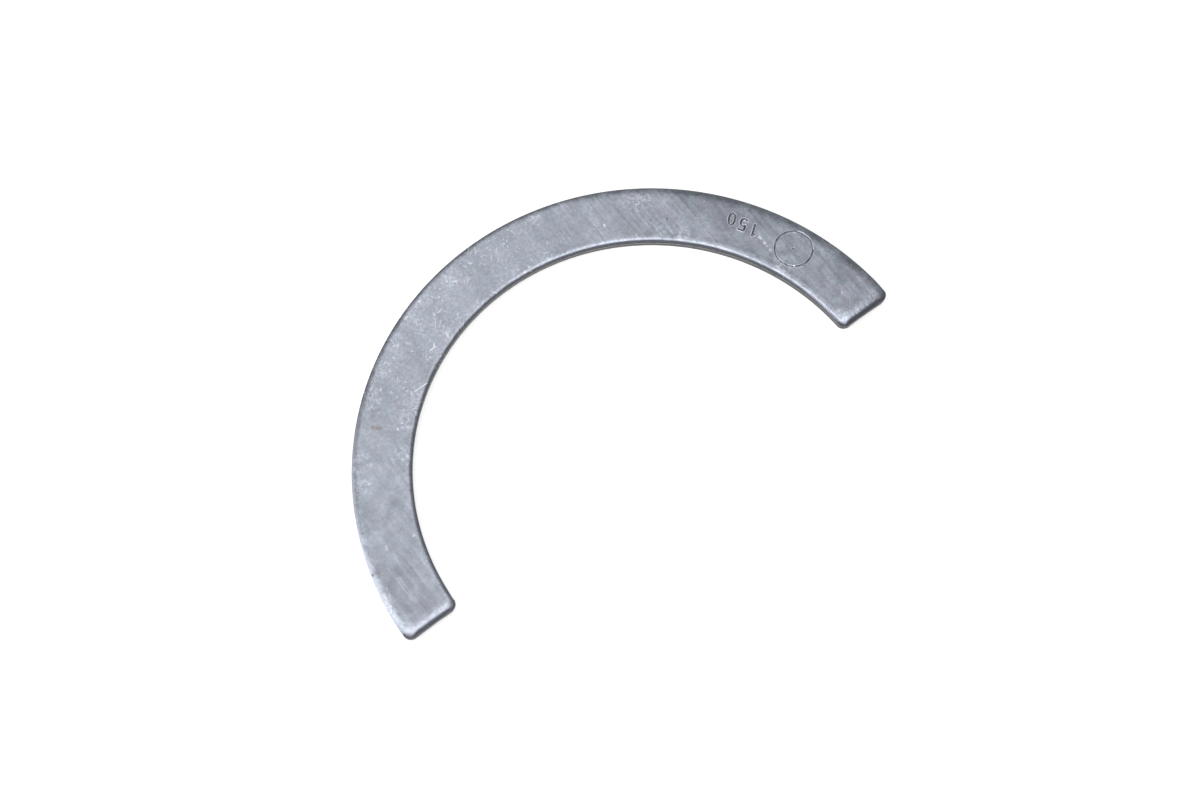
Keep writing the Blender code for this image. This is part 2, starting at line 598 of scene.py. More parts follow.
# The sheared wall is smooth and plumb, and only its lower line wavers
waver = noise(press, place, WAVER_GRAIN, seed_plus(3.0))
waver = times(press, calc(press, "SUBTRACT", waver, 0.5), given["Tear Line Waver"])
tear_line = upwards(calc(press, "ADD", given["Tear Line"], waver))
plumb = vector_calc(press, "MULTIPLY", place, (1.0, 1.0, 0.0))
pressed, open_edge = draw_down(pressed, open_edge, plumb, tear_line)

# The torn wall goes down in equal steps, and each one is pushed in or out at random
for step in range(TORN_STEPS):
    left = TORN_STEPS - step
    lower = vector_calc(press, "MULTIPLY", place, (1.0, 1.0, (left - 1) / left))
    rough = noise(press, place, TORN_GRAIN, seed_plus(4.0 + step))
    rough = times(press, calc(press, "SUBTRACT", rough, 0.5), given["Torn Roughness"])
    inwards = calc(press, "SUBTRACT", rough, calc(press, "DIVIDE", given["Torn Taper"], TORN_STEPS))
    offset = vector_calc(press, "SCALE", outwards, inwards)
    pressed, open_edge = draw_down(pressed, open_edge, lower, offset)
print("wall drawn down in", 1 + TORN_STEPS, "steps")

# %% Close the underside and give each surface its steel
UP = (0.0, 0.0, 1.0)
WELD_DISTANCE = 0.000001


def give_material(geometry, material, selection=True):
    """Set one of the press's materials on the selected faces."""
    inputs = {"Geometry": geometry, "Selection": selection, "Material": given[material]}
    return add(press, "GeometryNodeSetMaterial", inputs)["Geometry"]


rim = add(press, "GeometryNodeMeshToCurve", {"Mesh": pressed, "Selection": open_edge})["Curve"]
fill = add(press, "GeometryNodeFillCurve", {"Curve": rim}, mode="NGONS")["Mesh"]
facing_down = add(press, "GeometryNodeFlipFaces", {"Mesh": fill})["Mesh"]

# Each part has its steel before they join, so that no face is left on an empty slot
joined = press.nodes.new("GeometryNodeJoinGeometry")
feed(press, joined.inputs["Geometry"], give_material(facing_down, "Mill Underside"))
feed(press, joined.inputs["Geometry"], give_material(pressed, "Ground Face"))
seam = {"Geometry": joined.outputs["Geometry"], "Distance": WELD_DISTANCE}
welded = add(press, "GeometryNodeMergeByDistance", seam)["Geometry"]
real = add(press, "GeometryNodeRealizeInstances", {"Geometry": welded})["Geometry"]

# The wall and the underside keep the rim's share of nought, and only the underside faces down
normal = add(press, "GeometryNodeInputNormal")["Normal"]
on_rim = calc(press, "LESS_THAN", roll, 0.000001)
not_under = calc(press, "GREATER_THAN", vector_calc(press, "DOT_PRODUCT", normal, UP), -0.9)
is_wall = times(press, on_rim, not_under)
finished = give_material(real, "Blanked Edge", is_wall)
add(press, "NodeGroupOutput", {"Geometry": finished})
print("press tree:", len(press.nodes), "nodes")

# %% [markdown]
# ## Four looks of one steel
# The washer is one piece, but each surface got its look from another tool. The flat was
# ground and has since been scuffed. The rim's edge lies below the grinding wheel's
# reach, so it keeps a burnished grey, and where it leans away it is darkened further by
# painted shade. The wall is sheared above and torn below, with painted light and shade in
# its colour, and the underside is as the rolling mill left it. So each finish is a bare
# metal whose colour, roughness and fine relief are made by noise at the true scale.

# %% Steel and how its colour varies
STEEL = (0.405, 0.434, 0.502)


def new_material(name):
    """A material, its node tree and its shader's inputs."""
    material = bpy.data.materials.new(name)
    material.use_nodes = True
    tree = material.node_tree
    return material, tree, tree.nodes["Principled BSDF"].inputs


def steel_material(name):
    """A bare steel material, its node tree, its shader's inputs and its Object coordinates."""
    material, tree, shader = new_material(name)
    shader["Metallic"].default_value = 1.0
    return material, tree, shader, add(tree, "ShaderNodeTexCoord")["Object"]


def rgba(colour):
    """A colour for a socket."""
    return (*colour, 1.0)


def blend(tree, amount, first, second):
    """A colour between two colours."""
    inputs = {"Factor": amount, "A": first, "B": second}
    return add(tree, "ShaderNodeMix", inputs, data_type="RGBA")["Result"]


def scale(tree, colour, factor):
    """A colour made brighter or darker by a factor."""
    return vector_calc(tree, "SCALE", colour, factor)


def sway(tree, value, amount):
    """A factor that sways evenly round 1 as noise goes from 0 to 1."""
    return calc(tree, "MULTIPLY_ADD", calc(tree, "SUBTRACT", value, 0.5), amount, 1.0)


def less(tree, amount):
    """The factor that takes an amount away."""
    return calc(tree, "SUBTRACT", 1.0, amount)


def finish(tree, shader, colour, roughness, height, depth):
    """Link the colour, the roughness and a fine relief, whose depth is in metres."""
    bump = add(tree, "ShaderNodeBump", {"Distance": depth, "Height": height})["Normal"]
    feed(tree, shader["Base Color"], colour)
    feed(tree, shader["Roughness"], roughness)
    feed(tree, shader["Normal"], bump)


print("steel colour:", STEEL)

# %% [markdown]
# ## Nicks, pits and one rust spot
# The larger marks of years of handling are each in a place of their own, so they are
# listed by the angle round the ring and the distance from its axis. Every one is a
# straight dash: a group measures how far a point lies from the dash and gives a mask.

# %% The dash group and the nicks


def dash_group():
    """A node group that masks a straight dash from one point to another."""
    tree = bpy.data.node_groups.new("dash_mask", "ShaderNodeTree")
    named_inputs(tree, "Vector", ["Place", "Middle", "Run"])
    named_inputs(tree, "Float", ["Width"])
    tree.interface.new_socket("Mask", in_out="OUTPUT", socket_type="NodeSocketFloat")
    given = add(tree, "NodeGroupInput")
    flat = vector_calc(tree, "MULTIPLY", given["Place"], (1.0, 1.0, 0.0))
    away = vector_calc(tree, "SUBTRACT", flat, given["Middle"])
    along = vector_calc(tree, "DOT_PRODUCT", away, given["Run"])
    squared = vector_calc(tree, "DOT_PRODUCT", given["Run"], given["Run"])
    along = calc(tree, "DIVIDE", along, squared)
    along = calc(tree, "MAXIMUM", calc(tree, "MINIMUM", along, 1.0), -1.0)
    beside = vector_calc(tree, "DISTANCE", away, vector_calc(tree, "SCALE", given["Run"], along))
    mask = ramp(tree, beside, given["Width"], times(tree, given["Width"], 0.4))
    add(tree, "NodeGroupOutput", {"Mask": mask})
    return tree


dash_mask = dash_group()


def dash(tree, place, spot):
    """The mask of one dash, which is as strong as its last value says."""
    angle, radius, heading, half_length, half_width, strength = spot
    inputs = {
        "Place": place,
        "Middle": from_axis(radius, math.radians(angle)),
        "Run": half_length * direction(math.radians(heading)),
        "Width": half_width,
    }
    return times(tree, add(tree, "ShaderNodeGroup", inputs, node_tree=dash_mask)["Mask"], strength)


# Ring angle, radius, heading (both angles in degrees), half length, half width and strength
NICKS = (
    (124.0, 0.0617, 0, 0.0019, 0.00020, 0.85),
    (114.3, 0.0634, 0, 0.0008, 0.00024, 0.95),
    (113.5, 0.0636, 45, 0.00035, 0.00026, 0.90),
    (112.8, 0.0683, -48, 0.0014, 0.00018, 0.35),
    (106.9, 0.0733, 20, 0.00025, 0.00040, 0.70),
    (107.5, 0.0682, 90, 0.0002, 0.00034, 0.60),
    (106.2, 0.0676, 10, 0.0005, 0.00026, 0.60),
    (109.8, 0.0622, 80, 0.0005, 0.00040, 0.60),
    (124.0, 0.06585, 90, 0.00012, 0.00026, 0.60),
    (99.1, 0.0701, 150, 0.0004, 0.00036, 0.75),
    (100.1, 0.0717, 70, 0.00035, 0.00030, 0.55),
    (111.3, 0.0737, 30, 0.00035, 0.00036, 0.60),
    (135.0, 0.0645, 90, 0.00015, 0.00034, 0.75),
    (160.3, 0.0620, 20, 0.0002, 0.00034, 0.70),
    (161.2, 0.0693, 60, 0.0004, 0.00040, 0.35),
    (64.0, 0.06548, 80, 0.0002, 0.00036, 0.95),
    (6.9, 0.0662, 60, 0.00025, 0.00028, 0.70),
    (30.4, 0.06676, 90, 0.0002, 0.00030, 0.35),
    (28.9, 0.0668, 90, 0.0003, 0.00038, 1.00),
    (27.5, 0.06591, 90, 0.0001, 0.00048, 1.00),
    (26.7, 0.06547, 90, 0.0001, 0.00030, 0.60),
    (25.6, 0.06488, 90, 0.0002, 0.00036, 0.80),
)
PITS = (
    (165.4, 0.0747, 80, 0.0002, 0.00030, 0.90),
    (53.6, 0.0658, 45, 0.0002, 0.00026, 0.60),
    (49.9, 0.0663, 45, 0.0003, 0.00026, 0.65),
)
RUST_SPOT = (135.3, 0.0698, -45, 0.0008, 0.0008, 0.75)
print("nicks:", len(NICKS), "pits:", len(PITS))

# %% [markdown]
# ## The ground face and its textures
# The wheel left a straight grain across the ring, parallel to Y, in streaks that come and
# go, and it went over the face in broad passes. Handling has worn the grain away round
# the crown, where the steel is mottled instead. Under all of it lie clouds a few
# millimetres across, faintly violet in some places and blue-green in others. Each of
# these is noise at its own size.

# %% Colours and textures of the ground face
VIOLET = (0.415, 0.420, 0.495)
BLUE_GREEN = (0.378, 0.430, 0.482)
BURNISHED_AND_SHADED = (0.27, 0.285, 0.335)
GROOVE_SHADE = (0.22, 0.225, 0.25)
SCUFF_AND_LIP_HIGHLIGHT_COLOUR = (0.80, 0.83, 0.88)
RUST = (0.28, 0.215, 0.175)
PIT = (0.12, 0.12, 0.13)

# The size of each texture's grains along X, Y and Z, its seed and its detail
STREAKS = (0.0008, 0.020, 0.01), 1.0, 3.0
FINE_GRAIN = (0.0003, 0.005, 0.01), 2.0
GRAIN_PATCHES = (0.006, 0.012, 0.01), 12.0
PASSES = (0.006, 0.20, 0.01), 18.0, 1.0
BROAD_CLOUDS = (0.010, 0.014, 0.01), 19.0
CLOUDS = (0.0032, 0.0032, 0.01), 3.0, 5.0
TINTS = (0.0035, 0.0035, 0.01), 4.0, 3.0
SPECKLE = (0.0007, 0.0007, 0.01), 13.0
FROST = (0.0008, 0.0008, 0.01), 21.0, 5.0
DULL_SPOTS_AND_RIM_SHEEN = (0.0013, 0.0013, 0.01), 20.0
SCUFF_PATCHES = (0.0055, 0.0055, 0.01), 14.0
CRUMBS = (0.0007, 0.0007, 0.01), 15.0, 3.0
HAIRS = (0.00035, 0.0030, 0.01), 16.0, 3.0
CROSSING_HAIRS = (0.00035, 0.0025, 0.01), 17.0, 3.0

# How far a texture sways the tone, and how much of that is lost where the face is worn
STREAK_SWAY = 0.85
FINE_SWAY = 0.65
GRAIN_LOSS = 0.75
PASS_SWAY = 0.10
BROAD_SWAY, BROAD_LOSS = 0.34, 0.20
CLOUD_SWAY, CLOUD_LOSS = 0.78, 0.45
SPECKLE_SWAY = 0.70

# How strongly the pale marks show, and the struck ones: painted highlight on the lips, painted
# shade in the grooves
TINT_STRENGTH = 0.45
FROST_LIFT = 0.28
CRUMB_STRENGTH = 0.80
HAIR_STRENGTH = 0.54
LIP_WEAR_AND_HIGHLIGHT = 0.75
GROOVE_SHADE_STRENGTH = 0.8

# How much thicker pale marks lie on the worn face, on the rim and in the scuffed places
PATCH_LOSS = 0.09
WORN_PATCHES, RIM_PATCHES, SCUFFED_PATCHES = 0.17, 0.05, 0.20
print("widest streak:", STREAKS[0][0] * 1000, "mm, clouds:", CLOUDS[0][0] * 1000, "mm")

# %% [markdown]
# ## Places that the wheel and the years marked
# Some marks have places of their own, which are listed as the nicks are. The wheel left
# a few long lines, and it pressed less near the outer rim of the right arm, where the
# steel stayed darker. Scuffs gather along both rims and frost the steel. The face is
# worn most a little left of the crown, and is smoothest at its left end.

# %% Wheel lines and marked places
WORN_MIDDLE = from_axis(MIDDLE_RADIUS, math.radians(107.0))
WORN_REACH = 0.046
SMOOTH_FROM, SMOOTH_TO = -0.045, -0.062
SMOOTHNESS = 0.65
FACE_UP = Vector((0.0, 0.0, THICKNESS))

# Ring angle in degrees, radius and reach, and the X that the wheel's edge came to
LESS_GROUND = (
    (44.0, 0.0735, 0.0085),
    (38.0, 0.0715, 0.0075),
    (30.0, 0.0730, 0.0060),
    (10.0, 0.0718, 0.0050),
)
WHEEL_EDGE = 0.0488

# Listed as the nicks are, with a strength below nought where the line is lighter
WHEEL_LINES = (
    (25.2, 0.0721, 90, 0.0030, 0.0012, 0.11),
    (70.0, 0.0715, 90, 0.0045, 0.0020, 0.08),
    (90.0, 0.0710, 90, 0.0060, 0.0018, 0.07),
    (155.0, 0.0632, 90, 0.0045, 0.0016, 0.11),
    (172.7, 0.0712, 90, 0.0055, 0.0012, 0.12),
    (171.5, 0.0674, 90, 0.0070, 0.0010, 0.10),
    (169.4, 0.0654, 90, 0.0060, 0.0010, 0.10),
    (163.5, 0.0705, 90, 0.0050, 0.0008, 0.08),
    (169.2, 0.0695, 90, 0.0050, 0.0004, -0.16),
    (54.9, 0.0717, 97, 0.0027, 0.0005, -0.12),
    (52.1, 0.0672, 90, 0.0065, 0.00055, -0.12),
    (49.6, 0.0643, 80, 0.0022, 0.00045, -0.12),
    (52.4, 0.0624, 90, 0.0040, 0.0005, 0.08),
    (43.2, 0.0672, 90, 0.0080, 0.0003, 0.20),
    (30.1, 0.0704, 90, 0.0050, 0.0003, 0.18),
)

# Where scuffs gather: ring angle in degrees, radius and reach
SCUFFED = (
    (1.8, 0.0718, 0.0022), (1.6, 0.0674, 0.0022), (1.8, 0.0648, 0.0022),
    (3.0, 0.0626, 0.0024), (21.0, 0.0630, 0.0045), (46.0, 0.0627, 0.0026),
    (51.2, 0.0633, 0.0024), (57.0, 0.0715, 0.0050), (78.0, 0.0722, 0.0028),
    (99.0, 0.0710, 0.0035), (106.0, 0.0731, 0.0035), (109.5, 0.0621, 0.0028),
    (111.0, 0.0728, 0.0035), (116.5, 0.0717, 0.0038), (122.5, 0.0727, 0.0038),
    (127.3, 0.0617, 0.0030), (129.3, 0.0724, 0.0038), (133.0, 0.0630, 0.0038),
    (141.0, 0.0628, 0.0036), (143.0, 0.0727, 0.0042), (147.5, 0.0718, 0.0038),
)


def spots(tree, place, listed):
    """A mask that is 1 at the middle of each listed spot and 0 past its reach."""
    mask = 0.0
    for angle, radius, reach in listed:
        middle = from_axis(radius, math.radians(angle)) + FACE_UP
        away = vector_calc(tree, "DISTANCE", place, middle)
        mask = calc(tree, "MAXIMUM", mask, ramp(tree, away, reach, 0.4 * reach))
    return mask


print("wheel lines:", len(WHEEL_LINES), "scuffed places:", len(SCUFFED))

# %% What the wheel did to the tone


def grain_tone(tree, streaks, fine_grain, grain_left):
    """The tone of the straight grain, by how much of it is left."""
    coarse = sway(tree, streaks, times(tree, grain_left, STREAK_SWAY))
    return times(tree, coarse, sway(tree, fine_grain, times(tree, grain_left, FINE_SWAY)))


def wheel_tone(tree, place, x, worn):
    """The tone of the broad passes, of the listed lines and of the less ground places."""
    passes = peaks(tree, place, PASSES, 0.40, 0.60)
    broad = calc(tree, "MULTIPLY_ADD", worn, -BROAD_LOSS, BROAD_SWAY)
    broad = sway(tree, noise(tree, place, *BROAD_CLOUDS), broad)
    tone = times(tree, sway(tree, passes, PASS_SWAY), broad)
    for line in WHEEL_LINES:
        tone = times(tree, tone, less(tree, dash(tree, place, line)))
    past_edge = ramp(tree, x, WHEEL_EDGE, WHEEL_EDGE + 0.0006, 0.05, 0.22)
    less_ground = times(tree, spots(tree, place, LESS_GROUND), past_edge)
    return times(tree, tone, less(tree, less_ground))


print("wheel's tone: a product with", len(WHEEL_LINES), "lines in it")

# %% [markdown]
# ## Crumbs and hair scratches
# Small pale marks lie thick in some patches and are missing in others. So a mark is
# noise that rises above a level, and a patch is coarser noise that rises above its own.
# Wear, the rims and the scuffed places raise the coarse noise, which makes more patches
# there. The hair scratches run two ways, on axes turned about Z.

# %% Pale marks


def turned_by(tree, place, degrees):
    """The same place in axes that are turned about Z."""
    inputs = {"Vector": place, "Angle": math.radians(degrees)}
    return add(tree, "ShaderNodeVectorRotate", inputs, rotation_type="Z_AXIS")["Vector"]


def pale_marks(tree, place, worn, on_rim, scuffed):
    """The mask of crumbs and hair scratches inside their patches."""
    patches = calc(tree, "SUBTRACT", noise(tree, place, *SCUFF_PATCHES), PATCH_LOSS)
    for where, gain in ((worn, WORN_PATCHES), (on_rim, RIM_PATCHES), (scuffed, SCUFFED_PATCHES)):
        patches = calc(tree, "MULTIPLY_ADD", where, gain, patches)
    crumbs = times(tree, peaks(tree, place, CRUMBS, 0.59, 0.69), CRUMB_STRENGTH)
    hairs = peaks(tree, turned_by(tree, place, 42), HAIRS, 0.60, 0.70)
    crossing = peaks(tree, turned_by(tree, place, -50), CROSSING_HAIRS, 0.61, 0.71)
    hairs = times(tree, calc(tree, "MAXIMUM", hairs, crossing), HAIR_STRENGTH)
    return times(tree, calc(tree, "MAXIMUM", crumbs, hairs), ramp(tree, patches, 0.50, 0.62))


print("crumbs:", CRUMBS[0][0] * 1000, "mm, hairs:", HAIRS[0][1] * 1000, "mm long")

# %% [markdown]
# ## The ground face put together
# The tone is the product of what the wheel, the clouds and the frost do, and it scales
# the steel's colour. The rim is painted a little brighter, a painted highlight, with random
# dull spots between. Where it leans too far for the wheel it is darker: partly its own
# burnished grey and partly painted shade, and darkest at the right end, which is painted
# shade. A struck groove is painted dark at its foot, which is painted shade, and the lip
# beside it is painted bright, partly rubbed wear and partly a painted highlight. The nicks,
# the rust and the pits lie over everything else.

# %% Ground face
# The rim's edge is darker where it leans: partly its own burnished grey, partly painted shade; the
# extra darkening near the right end is painted shade
RIGHT_END = 0.050, 0.060
END_STRIP = 0.0030, 0.0012
END_SHADE_LEAN = 0.03
END_PAINTED_SHADE = 0.30
LEAN_OF_BURNISH_AND_SHADE = 0.96, 0.86


def burnish_and_shade(tree, colour, upright, x, y):
    """The colour with the rim's edge darkened by how far it leans, partly its own unground grey and
    partly painted shade, and most at the right end, which is painted shade; and the mask of that
    edge.
    """
    # Painted shade: near the right end the rim counts as leaning further and its grey is darkened
    # further
    from_end = calc(tree, "SUBTRACT", y, node_low.y)
    right_end_shade = ramp(tree, x, *RIGHT_END, 0.0, ramp(tree, from_end, *END_STRIP))
    upright = calc(tree, "MULTIPLY_ADD", right_end_shade, -END_SHADE_LEAN, upright)
    below_wheel_and_shaded = ramp(tree, upright, *LEAN_OF_BURNISH_AND_SHADE)
    burnished_and_shaded = scale(tree, BURNISHED_AND_SHADED, calc(tree, "MULTIPLY_ADD", right_end_shade, -END_PAINTED_SHADE, 1.0))
    return blend(tree, below_wheel_and_shaded, colour, burnished_and_shaded), below_wheel_and_shaded


def ground_face():
    """The flat upper face with its roll: ground, clouded, scuffed and nicked."""
    material, tree, shader, place = steel_material("ground_face")
    axes = axes_of(tree, place)
    x, y, z = axes["X"], axes["Y"], axes["Z"]
    normal = add(tree, "ShaderNodeNewGeometry")["Normal"]
    upright = vector_calc(tree, "DOT_PRODUCT", normal, UP)
    share = add(tree, "ShaderNodeAttribute", attribute_name="roll")["Fac"]
    on_rim = times(tree, ramp(tree, share, 0.1, 0.4), ramp(tree, share, 1.12, 0.7))
    from_worn = vector_calc(tree, "DISTANCE", place, WORN_MIDDLE)
    worn = ramp(tree, from_worn, WORN_REACH, 0.5 * WORN_REACH)
    smooth = ramp(tree, x, SMOOTH_FROM, SMOOTH_TO, 1.0, SMOOTHNESS)
    scuffed = spots(tree, place, SCUFFED)
    speckle = noise(tree, place, *SPECKLE)
    clouds = noise(tree, place, *CLOUDS)

    # The grain shows in patches, and is weak where the face is worn or smooth
    streaks = noise(tree, place, *STREAKS)
    fine_grain = noise(tree, place, *FINE_GRAIN)
    grain_left = calc(tree, "MULTIPLY_ADD", worn, -GRAIN_LOSS, smooth)
    grain_left = times(tree, peaks(tree, place, GRAIN_PATCHES, 0.35, 0.65, 0.3, 1.0), grain_left)
    tone = grain_tone(tree, streaks, fine_grain, grain_left)
    tone = times(tree, tone, wheel_tone(tree, place, x, worn))

    # Speckle, clouds and frost
    speckled = sway(tree, speckle, times(tree, smooth, SPECKLE_SWAY))
    cloudy = calc(tree, "MULTIPLY_ADD", worn, -CLOUD_LOSS, CLOUD_SWAY)
    clouded = sway(tree, clouds, times(tree, smooth, cloudy))
    frost = times(tree, peaks(tree, place, FROST, 0.44, 0.60), scuffed)
    frosted = calc(tree, "MULTIPLY_ADD", frost, FROST_LIFT, 1.0)
    tone = times(tree, tone, speckled, clouded, frosted)

    tints = peaks(tree, place, TINTS, 0.38, 0.62)
    colour = blend(tree, tints, rgba(VIOLET), rgba(BLUE_GREEN))
    colour = scale(tree, blend(tree, TINT_STRENGTH, rgba(STEEL), colour), tone)

    # The rim painted a little brighter as a painted highlight, and its darker edge, partly
    # burnished grey and partly painted shade
    # Painted highlight: the roll is painted up to six per cent brighter, with random dull spots
    # between
    dull_spots_and_sheen = peaks(tree, place, DULL_SPOTS_AND_RIM_SHEEN, 0.50, 0.64, -0.06, 0.16)
    dull_spots_and_sheen = times(tree, dull_spots_and_sheen, ramp(tree, share, 0.7, 0.3))
    colour = scale(tree, colour, less(tree, dull_spots_and_sheen))
    colour, below_wheel_and_shaded = burnish_and_shade(tree, colour, upright, x, y)

    # Struck marks, with painted shade in the grooves and a painted highlight on the lips, then all
    # that is pale, then rust and pits
    above = calc(tree, "SUBTRACT", z, THICKNESS)
    # Painted shade: the foot of each struck groove is darkened
    groove_shade = times(tree, ramp(tree, above, -0.00003, -0.00018), ramp(tree, share, 0.5, 0.8))
    # The lips are painted bright: partly rubbed wear and partly a painted highlight
    lip_wear_and_highlight = times(tree, ramp(tree, above, 0.00001, 0.00005), LIP_WEAR_AND_HIGHLIGHT)
    colour = blend(tree, times(tree, groove_shade, GROOVE_SHADE_STRENGTH), colour, rgba(GROOVE_SHADE))
    pale = calc(tree, "MAXIMUM", pale_marks(tree, place, worn, on_rim, scuffed), lip_wear_and_highlight)
    for spot in NICKS:
        pale = calc(tree, "MAXIMUM", pale, dash(tree, place, spot))
    colour = blend(tree, pale, colour, rgba(SCUFF_AND_LIP_HIGHLIGHT_COLOUR))
    rusty = ramp(tree, speckle, 0.35, 0.60, 0.25, 1.0)
    colour = blend(tree, times(tree, dash(tree, place, RUST_SPOT), rusty), colour, rgba(RUST))
    for spot in PITS:
        colour = blend(tree, dash(tree, place, spot), colour, rgba(PIT))

    rough = ramp(tree, clouds, 0.3, 0.7, 0.29, 0.37)
    rough = calc(tree, "MULTIPLY_ADD", below_wheel_and_shaded, -0.08, rough)
    grain = times(tree, calc(tree, "ADD", streaks, fine_grain), times(tree, grain_left, 0.5))
    dented = times(tree, speckle, calc(tree, "MULTIPLY_ADD", on_rim, 4.5, 0.5))
    finish(tree, shader, colour, rough, calc(tree, "ADD", grain, dented), 0.00001)
    return material


face_steel = ground_face()
print("ground face:", len(face_steel.node_tree.nodes), "nodes")

# %% [markdown]
# ## The blanked edge
# The sheared band shines a little and has fine plumb lines. A thin painted highlight marks
# where the shear gives way to the tear. Below it the steel is coarse, dull and faintly
# brown, and painted lighter towards its foot, which is painted light. The height tells the
# bands apart, so the material reads Z. The walls of the straight ends get painted shade,
# which Y tells.

# %% Blanked edge
SHEARED = (0.079, 0.0815, 0.091)
TORN = (0.135, 0.131, 0.133)
BREAK_LINE_HIGHLIGHT = (0.50, 0.49, 0.49)
BREAK_LINE_WIDTH = 0.00018
BREAK_LINE_WAVER = 0.0003
END_WALL_PAINTED_SHADE = 0.62
FOOT_PAINTED_LIGHT = 1.7

# Grain size, seed and detail, as for the ground face
LINE_WAVES = (0.003, 0.003, 10.0), 5.0
PLUMB_LINES = (0.00025, 0.00025, 0.004), 6.0, 3.0
TORN_TEXTURE = (0.0005, 0.0005, 0.0003), 7.0, 5.0
LINE_GAPS = (0.002, 0.002, 0.01), 8.0


def blanked_edge():
    """The wall: sheared above, a broken painted highlight line, torn below, with painted light at
    its foot and painted shade on the end walls.
    """
    material, tree, shader, place = steel_material("blanked_edge")
    axes = axes_of(tree, place)
    waves = calc(tree, "SUBTRACT", noise(tree, place, *LINE_WAVES), 0.5)
    line = calc(tree, "MULTIPLY_ADD", waves, BREAK_LINE_WAVER, PRESS_SIZES["Tear Line"])
    above = calc(tree, "SUBTRACT", axes["Z"], line)

    sheared = scale(tree, SHEARED, sway(tree, noise(tree, place, *PLUMB_LINES), 0.7))
    coarse = noise(tree, place, *TORN_TEXTURE)
    # Painted light: the torn steel is painted lighter towards its foot, as if lit from the floor
    foot = ramp(tree, axes["Z"], 0.0011, 0.0, 1.0, FOOT_PAINTED_LIGHT)
    torn = scale(tree, TORN, times(tree, sway(tree, coarse, 1.2), foot))
    colour = blend(tree, ramp(tree, above, -0.00005, 0.00005), torn, sheared)
    # Painted shade: the walls of the straight ends are darkened
    from_end = calc(tree, "SUBTRACT", axes["Y"], node_low.y)
    colour = scale(tree, colour, ramp(tree, from_end, 0.0018, 0.0008, 1.0, END_WALL_PAINTED_SHADE))

    # Painted highlight along the break line, broken by gaps
    bright = ramp(tree, calc(tree, "ABSOLUTE", above), BREAK_LINE_WIDTH, 0.0)
    broken = peaks(tree, place, LINE_GAPS, 0.30, 0.50)
    colour = blend(tree, times(tree, bright, broken), colour, rgba(BREAK_LINE_HIGHLIGHT))
    finish(tree, shader, colour, ramp(tree, above, -0.0001, 0.0001, 0.62, 0.34), coarse, 0.00003)
    return material


edge_steel = blanked_edge()
print("blanked edge:", len(edge_steel.node_tree.nodes), "nodes")

# %% [markdown]
# ## The underside
# Nobody grinds the side that the steel tears towards. It keeps the mill's rolled finish,
# a cooler and duller grey with long faint lines and a few dark specks of scale.

# %% Mill underside
MILL_GREY = (0.30, 0.315, 0.35)
SCALE_SPECK = (0.09, 0.085, 0.09)

# Grain size, seed and detail
ROLLED_LINES = (0.0009, 0.04, 0.01), 9.0
MILL_CLOUDS = (0.006, 0.009, 0.01), 10.0, 4.0
SPECKS = (0.0008, 0.0011, 0.01), 11.0, 3.0


def mill_underside():
    """The underside as the rolling mill left it."""
    material, tree, shader, place = steel_material("mill_underside")
    lines = noise(tree, place, *ROLLED_LINES)
    clouds = noise(tree, place, *MILL_CLOUDS)
    tone = times(tree, sway(tree, lines, 0.35), sway(tree, clouds, 0.6))
    specks = peaks(tree, place, SPECKS, 0.66, 0.72)
    colour = blend(tree, specks, scale(tree, MILL_GREY, tone), rgba(SCALE_SPECK))
    finish(tree, shader, colour, ramp(tree, clouds, 0.3, 0.7, 0.40, 0.52), lines, 0.00001)
    return material


under_steel = mill_underside()
print("mill underside:", len(under_steel.node_tree.nodes), "nodes")

# %% [markdown]
# ## Press the washer
# The net gets the press as a modifier, with its sizes set by each socket's identifier.
# The evaluated result is copied into a plain mesh, so that nothing stays live on the
# piece. The shading is smooth, apart from the corner that runs round the underside.

# %% Run the press and dress the node
SHARP_CORNER = math.radians(50.0)


def run_press():
    """The washer as a plain mesh, pressed from the flat net."""
    blank = new_object("blank", net)
    modifier = blank.modifiers.new("press", "NODES")
    modifier.node_group = press
    settings = {"Figures": figures, "Inspection Ring": inspection, "Ground Face": face_steel}
    settings |= {"Blanked Edge": edge_steel, "Mill Underside": under_steel, **PRESS_SIZES}
    for socket in press.interface.items_tree:
        if socket.name in settings:
            modifier[socket.identifier] = settings[socket.name]
    evaluated = blank.evaluated_get(bpy.context.evaluated_depsgraph_get())
    mesh = bpy.data.meshes.new_from_object(evaluated)
    for used in (blank, figures, inspection):
        bpy.data.objects.remove(used, do_unlink=True)
    mesh.shade_smooth()
    mesh.set_sharp_from_angle(angle=SHARP_CORNER)
    return mesh


washer = new_object("pressed_half_ring", run_press())
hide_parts("half_ring")
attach(washer, "root")
triangles = sum(len(face.vertices) - 2 for face in washer.data.polygons)
print("washer:", triangles, "triangles,", [m.name for m in washer.data.materials])

# %% [markdown]
# ## The studio
# The photograph was lit by a broad soft box on the camera's side and another low on the
# left: the rim shines wherever it leans to the left or towards the camera, and is dark
# wherever it leans away. The flat face mirrors the dimmer ceiling beyond, where a
# brighter pool on the right gives it a glow. The floor is plain white. It adds a little
# light of its own that only the camera and reflections see, so it is white where nothing
# shades it and still keeps the washer's shadow.

# %% Soft boxes, world and floor
WORLD_GREY = 0.35
FLOOR_SIZE = 3.0
FLOOR_WHITE = 0.80
FLOOR_LIFT = 0.55

